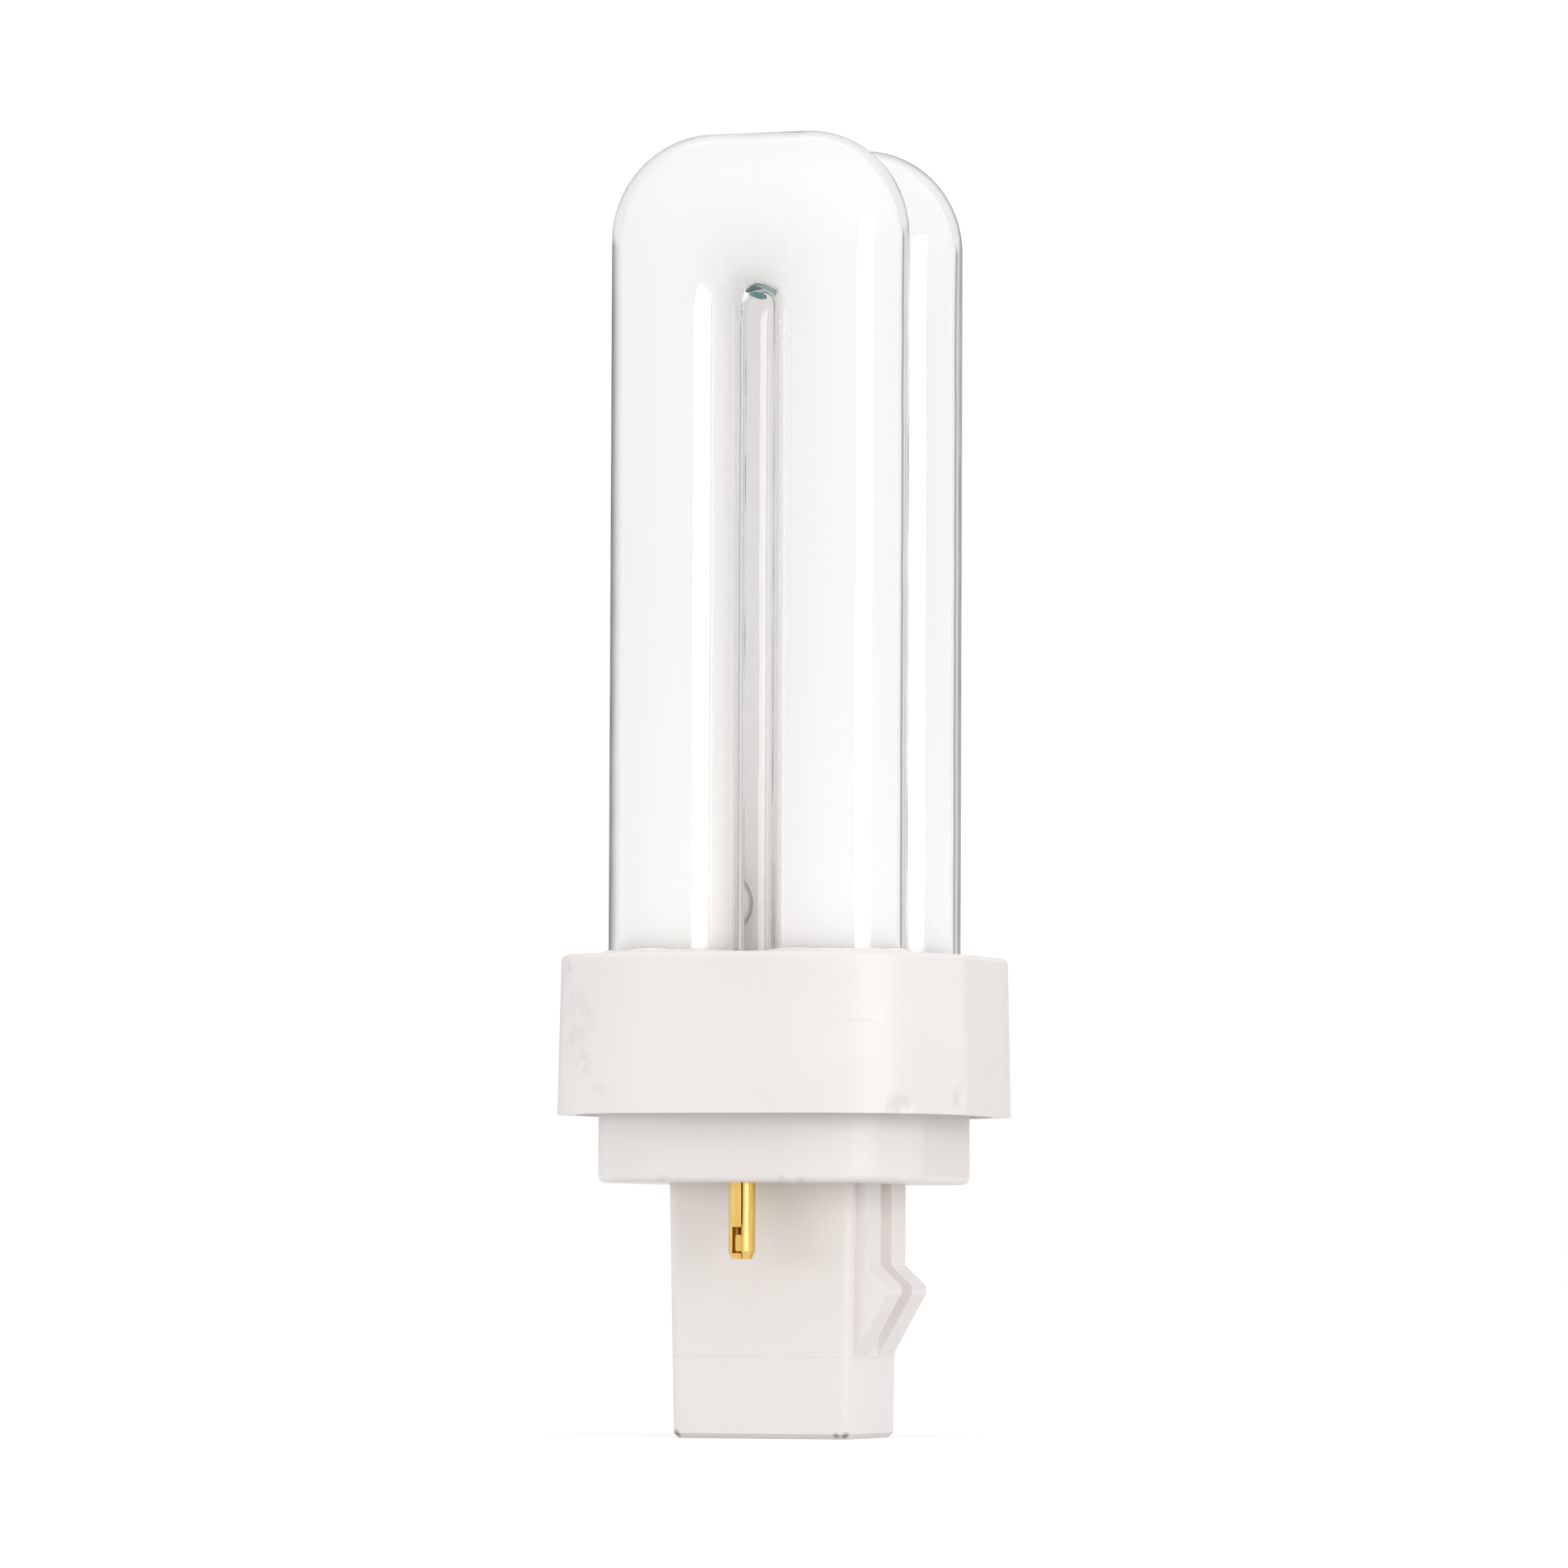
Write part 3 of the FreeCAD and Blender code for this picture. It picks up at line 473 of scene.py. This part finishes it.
def buildCollar():
    # point = base * shrink + (corner - inset) * out, for a profile of (shrink, inset, z) that runs from the middle
    # of the top over the rounded edge, down the wall and up inside to the middle of the ceiling
    d = collarForm
    base, out = roundedSquare(d["half"] - d["corner"], d["corner"], d["columns"])
    slope = math.tan(math.radians(d["draft"]))
    edgeTurn = np.linspace(0, math.pi / 2, d["edgeRows"])
    brow = d["top"] - d["edge"]
    browInset = (brow - d["foot"]) * slope
    wallZ = np.linspace(brow, d["foot"], d["wallRows"])[1:]
    deep = d["corner"]
    inner = d["wall"] + d["ledge"]
    topInset = [deep, deep, *d["topInsets"]]
    ceilingInset = [inner, *d["ceilingInsets"], deep, deep]
    inset = np.concatenate([topInset, browInset + d["edge"] * (1 - np.sin(edgeTurn)), (wallZ - d["foot"]) * slope,
                            [d["wall"], d["wall"], inner], ceilingInset])
    z = np.concatenate([np.full(len(topInset), d["top"]), brow + d["edge"] * np.cos(edgeTurn), wallZ,
                        [d["foot"], d["lidTop"], d["lidTop"]], np.full(len(ceilingInset), d["ceiling"])])
    shrink = np.ones(len(z))
    shrink[[0, -1]] = 0.5        # the first and last rings close up to the poles
    flat = base[None, :, :] * shrink[:, None, None] + (deep - inset)[:, None, None] * out[None, :, :]
    points = np.dstack([flat, np.repeat(z[:, None], d["columns"], axis=1)])
    belowEdge = np.arange(len(z)) >= len(topInset) + len(edgeTurn)
    onWall = (belowEdge & (inset < d["wall"]))[:, None]
    for centre, radius, depth in d["dents"]:
        # a dent is depth * exp(-(distance / radius)^4), pressed inwards
        away = np.linalg.norm(points - np.array(centre), axis=-1) / radius
        push = np.where(onWall, depth * np.exp(-away ** 4), 0)
        points[:, :, :2] -= push[:, :, None] * out[None, :, :]
    points, faces = closedTube(points * mm)
    piece = makePiece("collar_shell", points, outward(points, faces), collarPlastic)
    cutLegHoles(piece)
    return piece


def cutLegHoles(piece):
    # four round plugs, radius * (cos(phi), sin(phi)) about each leg's axis, taken out of the collar
    d = collarForm
    phi = np.linspace(0, 2 * math.pi, d["holeAround"], endpoint=False)
    ring = np.stack([d["hole"] * np.cos(phi), d["hole"] * np.sin(phi)], axis=-1)
    allPoints, allFaces = [], []
    for x in (-uTube["pitchAcross"], uTube["pitchAcross"]):
        for y in (-uTube["pitchDeep"], uTube["pitchDeep"]):
            ends = [np.column_stack([ring + (x, y), np.full(len(phi), level)]) * mm
                    for level in (d["lidTop"], d["top"] + d["plugOver"])]
            points, faces = closedTube(np.stack(ends))
            first = len(points) * len(allPoints)
            allFaces += [[i + first for i in f] for f in outward(points, faces)]
            allPoints.append(points)
    plugs = plainObject("leg_plugs", np.vstack(allPoints), allFaces, None, False)
    cut = piece.modifiers.new("leg_holes", "BOOLEAN")
    cut.operation = "DIFFERENCE"
    cut.solver = "EXACT"
    cut.object = plugs
    shape = bpy.data.meshes.new_from_object(piece.evaluated_get(bpy.context.evaluated_depsgraph_get()))
    piece.modifiers.clear()
    piece.data = shape
    shape.set_sharp_from_angle(angle=math.radians(35))
    bpy.data.objects.remove(plugs)


collarShell = buildCollar()
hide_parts("base_collar")
print("collar built", len(collarShell.data.polygons))


# cement that crept up the glass, one uneven rim for each leg

cementRim = {"inner": 6.02, "seat": 42.6, "spread": 0.5, "rise": 0.42, "tuck": 0.01, "wobble": 0.3, "around": 160}


def buildCementRim(name, x, y, phase):
    # profile (across, up) of a hollow fillet, scaled round the leg by the swing
    # 1 + wobble * (0.6 sin(3a + phase) + 0.4 sin(7a + 2 phase))
    d = cementRim
    a = np.linspace(0, 2 * math.pi, d["around"], endpoint=False)[:, None]
    swing = 1 + d["wobble"] * (0.6 * np.sin(3 * a + phase) + 0.4 * np.sin(7 * a + 2 * phase))
    t = np.linspace(0, math.pi / 2, 9)
    across = np.concatenate([(1 - np.sin(t[::-1])), [1.0, 0.0]])[None, :]
    up = np.concatenate([(1 - np.cos(t[::-1])), [-d["tuck"], -d["tuck"]]])[None, :]
    radius = d["inner"] + d["spread"] * across * swing
    z = d["seat"] + d["rise"] * up * swing
    points = np.stack([x + radius * np.cos(a), y + radius * np.sin(a), z], axis=-1) * mm
    faces = gridFaces(*points.shape[:2], wrapRows=True).tolist()
    points = points.reshape(-1, 3)
    makePiece(name, points, outward(points, faces), cement)


for k, (x, y) in enumerate(((-1, -1), (1, -1), (1, 1), (-1, 1))):
    buildCementRim("cement_rim_%d" % (k + 1), x * uTube["pitchAcross"], y * uTube["pitchDeep"], 1.3 * k + 0.4)
print("cement rims built")


# small rounded pieces: the brass tab in each pin's window and the glass bead at the end of each slot, whose colour
# is painted reflection

pinTab = {"radii": (0.36, 0.09, 0.74), "squareness": 0.3, "turn": 19.0, "pinY": 11.5, "inward": 0.4, "across": -0.2,
          "z": 17.2}
# the bead's dark and light colours are the teal of thick glass with a painted dark reflection in it
slotBead = {"radii": (0.95, 0.7, 0.36), "tilt": -20.0, "side": -0.3, "z": 101.15,
            "dark": (0.04, 0.20, 0.18), "light": (0.30, 0.46, 0.45), "grain": 700.0, "roughness": 0.08}


def roundedBlock(radii, squareness, tilt, turn, centre):
    # superellipsoid x = a C(u) C(v), y = b C(u) S(v), z = c S(u), where C and S are cos and sin raised to the
    # squareness; tilted about y, turned about z and moved to the centre
    def power(value):
        return np.sign(value) * np.abs(value) ** squareness
    u = np.linspace(-math.pi / 2, math.pi / 2, 33)[1:-1, None]
    v = np.linspace(0, 2 * math.pi, 64, endpoint=False)[None, :]
    shape = np.stack([radii[0] * power(np.cos(u)) * power(np.cos(v)),
                      radii[1] * power(np.cos(u)) * power(np.sin(v)),
                      radii[2] * power(np.sin(u)) * np.ones_like(v)], axis=-1)
    about = Matrix.Rotation(math.radians(turn), 3, "Z") @ Matrix.Rotation(math.radians(-tilt), 3, "Y")
    points, faces = closedTube((shape @ np.array(about).T + np.array(centre)) * mm)
    return points, outward(points, faces)


def buildPinTab(name, way):
    # way is 1 in front and -1 behind, where the tab is turned half round with its pin
    d = pinTab
    a = math.radians(d["turn"])
    spot = np.array([d["across"] * math.cos(a) + d["inward"] * math.sin(a),
                     d["across"] * math.sin(a) - d["inward"] * math.cos(a)])
    centre = (way * spot[0], way * spot[1] - way * d["pinY"], d["z"])
    points, faces = roundedBlock(d["radii"], d["squareness"], 0.0, d["turn"], centre)
    makePiece("pin_tab_" + name, points, faces, brass)


def buildSlotBead(name, way, material):
    d = slotBead
    centre = (way * d["side"], -way * uTube["pitchDeep"], d["z"])
    points, faces = roundedBlock(d["radii"], 1.0, d["tilt"], 0.0, centre)
    makePiece("slot_bead_" + name, points, faces, material)


# opaque bead whose dark teal is glass tint and painted dark reflection
beadGlassAndDarkReflection = makeSimple("bead_glass_and_dark_reflection", slotBead["dark"], slotBead["light"], slotBead["grain"], slotBead["roughness"])
for name, way in (("front", 1), ("rear", -1)):
    buildPinTab(name, way)
    buildSlotBead(name, way, beadGlassAndDarkReflection)
print("small parts built")


# finishes of the CAD solids

solidFinishes = {
    "discharge_tube": coating, "base_collar": collarPlastic, "base_cap": capPlastic, "cement_bed": cement,
    "contact_pin_front": brass, "contact_pin_rear": brass,
    "glow_starter": starterGlass, "starter_capacitor": resin,
    "lead_front_pin": copper, "lead_rear_pin": copper, "lead_front_starter": copper, "lead_rear_starter": copper,
}
for nodeName, finish in solidFinishes.items():
    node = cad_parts[nodeName]
    node.data.materials.clear()
    node.data.materials.append(finish)
print("finishes set")


# stage: floor, world, cards and lamps

def seenRays(nodes, links):
    # 1 for a ray from the camera, a reflection or a look through glass
    path = nodes.new("ShaderNodeLightPath")
    either = math2(nodes, links, "MAXIMUM", path.outputs["Is Camera Ray"], path.outputs["Is Glossy Ray"])
    return math2(nodes, links, "MAXIMUM", either, path.outputs["Is Transmission Ray"])


floorLook = {"size": 6.0, "level": 0.7, "lift": 0.42}


def makeFloor():
    # matt floor, lifted to white by a glow that only the rays above see, so that it keeps the shadow
    size, level = floorLook["size"], floorLook["level"]
    floor = plainObject("floor", [(-size, -size, 0), (size, -size, 0), (size, size, 0), (-size, size, 0)],
                        [(0, 1, 2, 3)], None, False)
    material, nodes, links, shader, out = newMaterial("floor_white")
    shader.inputs["Base Color"].default_value = (level, level, level, 1)
    shader.inputs["Roughness"].default_value = 1.0
    shader.inputs["Specular IOR Level"].default_value = 0.0
    glow = nodes.new("ShaderNodeEmission")
    glow.inputs["Strength"].default_value = floorLook["lift"]
    add = nodes.new("ShaderNodeAddShader")
    mix = nodes.new("ShaderNodeMixShader")
    links.new(shader.outputs["BSDF"], add.inputs[0])
    links.new(glow.outputs["Emission"], add.inputs[1])
    links.new(seenRays(nodes, links), mix.inputs["Fac"])
    links.new(shader.outputs["BSDF"], mix.inputs[1])
    links.new(add.outputs["Shader"], mix.inputs[2])
    links.new(mix.outputs["Shader"], out.inputs["Surface"])
    floor.data.materials.append(material)


worldLook = {"fill": 0.85, "seen": 1.0}


def makeWorld():
    # soft light all round, and plain white where it is seen
    world = bpy.data.worlds.new("studio")
    scene.world = world
    world.use_nodes = True
    nodes, links = world.node_tree.nodes, world.node_tree.links
    nodes.clear()
    out = nodes.new("ShaderNodeOutputWorld")
    soft = nodes.new("ShaderNodeBackground")
    soft.inputs["Color"].default_value = (1, 1, 1, 1)
    soft.inputs["Strength"].default_value = worldLook["fill"]
    white = nodes.new("ShaderNodeBackground")
    white.inputs["Color"].default_value = (1, 1, 1, 1)
    white.inputs["Strength"].default_value = worldLook["seen"]
    mix = nodes.new("ShaderNodeMixShader")
    links.new(seenRays(nodes, links), mix.inputs["Fac"])
    links.new(soft.outputs["Background"], mix.inputs[1])
    links.new(white.outputs["Background"], mix.inputs[2])
    links.new(mix.outputs["Shader"], out.inputs["Surface"])


def polar(azimuth, distance, height):
    # azimuth 0 is the front, positive towards +X
    a = math.radians(azimuth)
    return Vector((distance * math.sin(a), -distance * math.cos(a), height))


# turns are degrees from straight behind the part, to the left in the picture when positive; levels are the card's
# brightness there, and topLevels its brightness at the last heights
backCard = {"distance": 0.5, "heights": (0.0, 0.055, 0.15, 0.2, 0.6), "topLevels": (0.84, 0.92), "columns": 89,
            "turns": (-66, -45, -40, -35, -31, -18, -10, -1, 1, 10, 18, 31, 45, 66),
            "levels": (1.0, 0.92, 0.28, 0.28, 0.75, 0.75, 0.26, 0.2, 0.05, 0.15, 0.38, 0.6, 0.8, 1.0),
            "throughGlass": True}
sideStrip = {"distance": 0.49, "heights": (0.0, 0.03, 0.15, 0.2), "topLevels": (1.0,), "columns": 37,
             "turns": (-46, -42, -31, -26), "levels": (1.0, 0.2, 0.2, 1.0), "throughGlass": False}


def makeCard(name, azimuth, d):
    # upright card on an arc about the part, (distance sin(a), -distance cos(a), z), pale at its foot and top and
    # seen only in reflections and, where throughGlass is on, through glass
    turn = np.linspace(d["turns"][0], d["turns"][-1], d["columns"])
    a = np.radians(azimuth + turn)
    x, y = d["distance"] * np.sin(a), -d["distance"] * np.cos(a)
    rows = np.stack([np.stack([x, y, np.full_like(x, z)], axis=-1) for z in d["heights"]])
    card = plainObject(name, rows, gridFaces(len(rows), d["columns"], False), None)
    level = np.interp(turn, d["turns"], d["levels"])
    rest = [np.full_like(level, top) for top in d["topLevels"]]
    shade = card.data.attributes.new("shade", "FLOAT", "POINT")
    levels = np.concatenate([np.ones_like(level), level, level] + rest)
    shade.data.foreach_set("value", levels.astype(np.float32))
    material, nodes, links, shader, out = newMaterial(name + "_felt")
    read = nodes.new("ShaderNodeAttribute")
    read.attribute_name = "shade"
    glow = nodes.new("ShaderNodeEmission")
    links.new(read.outputs["Fac"], glow.inputs["Strength"])
    links.new(glow.outputs["Emission"], out.inputs["Surface"])
    card.data.materials.append(material)
    card.visible_camera = False
    card.visible_diffuse = False
    card.visible_shadow = False
    card.visible_transmission = d["throughGlass"]


# the fill is soft light only, with no second highlight on the glass
keyBox = {"azimuth": 60, "distance": 1.2, "height": 0.3, "wide": 0.6, "tall": 0.56, "power": 3.9,
          "highlight": True}
fillBox = {"azimuth": -42, "distance": 1.2, "height": 0.08, "wide": 0.7, "tall": 0.4, "power": 3.4,
           "highlight": False}


def makeSoftbox(name, d):
    lamp = bpy.data.lights.new(name, "AREA")
    lamp.shape = "RECTANGLE"
    lamp.size = d["wide"]
    lamp.size_y = d["tall"]
    lamp.energy = d["power"]
    box = bpy.data.objects.new(name, lamp)
    scene.collection.objects.link(box)
    box.location = polar(d["azimuth"], d["distance"], d["height"])
    aim = Vector((0, 0, 0.06)) - box.location        # at the middle of the part
    box.rotation_euler = aim.to_track_quat("-Z", "Y").to_euler()
    box.visible_glossy = d["highlight"]
    box.visible_transmission = d["highlight"]


view = {"azimuth": 19.0, "distance": 0.80, "height": 0.015, "target": 0.0581, "lens": 206.4, "sensor": 36.0,
        "clip": 0.01, "roll": 0.22, "side": -0.0002}
makeFloor()
makeWorld()
makeCard("back_card", view["azimuth"] + 180, backCard)
makeCard("side_strip", view["azimuth"] + 180, sideStrip)
makeSoftbox("key", keyBox)
makeSoftbox("fill", fillBox)
print("stage set")


# camera

camData = bpy.data.cameras.new("camera")
camData.lens = view["lens"]
camData.sensor_width = view["sensor"]
camData.clip_start = view["clip"]
cam = bpy.data.objects.new("camera", camData)
scene.collection.objects.link(cam)
sideways = polar(view["azimuth"] + 90, view["side"], 0.0)
cam.location = polar(view["azimuth"], view["distance"], view["height"]) + sideways
aim = (Vector((0, 0, view["target"])) + sideways - cam.location).normalized()
turned = aim.to_track_quat("-Z", "Y").to_matrix().to_4x4()
cam.matrix_world = Matrix.Translation(cam.location) @ turned @ Matrix.Rotation(math.radians(view["roll"]), 4, "Z")
scene.camera = cam
scene.view_settings.view_transform = "Standard"

print("done")
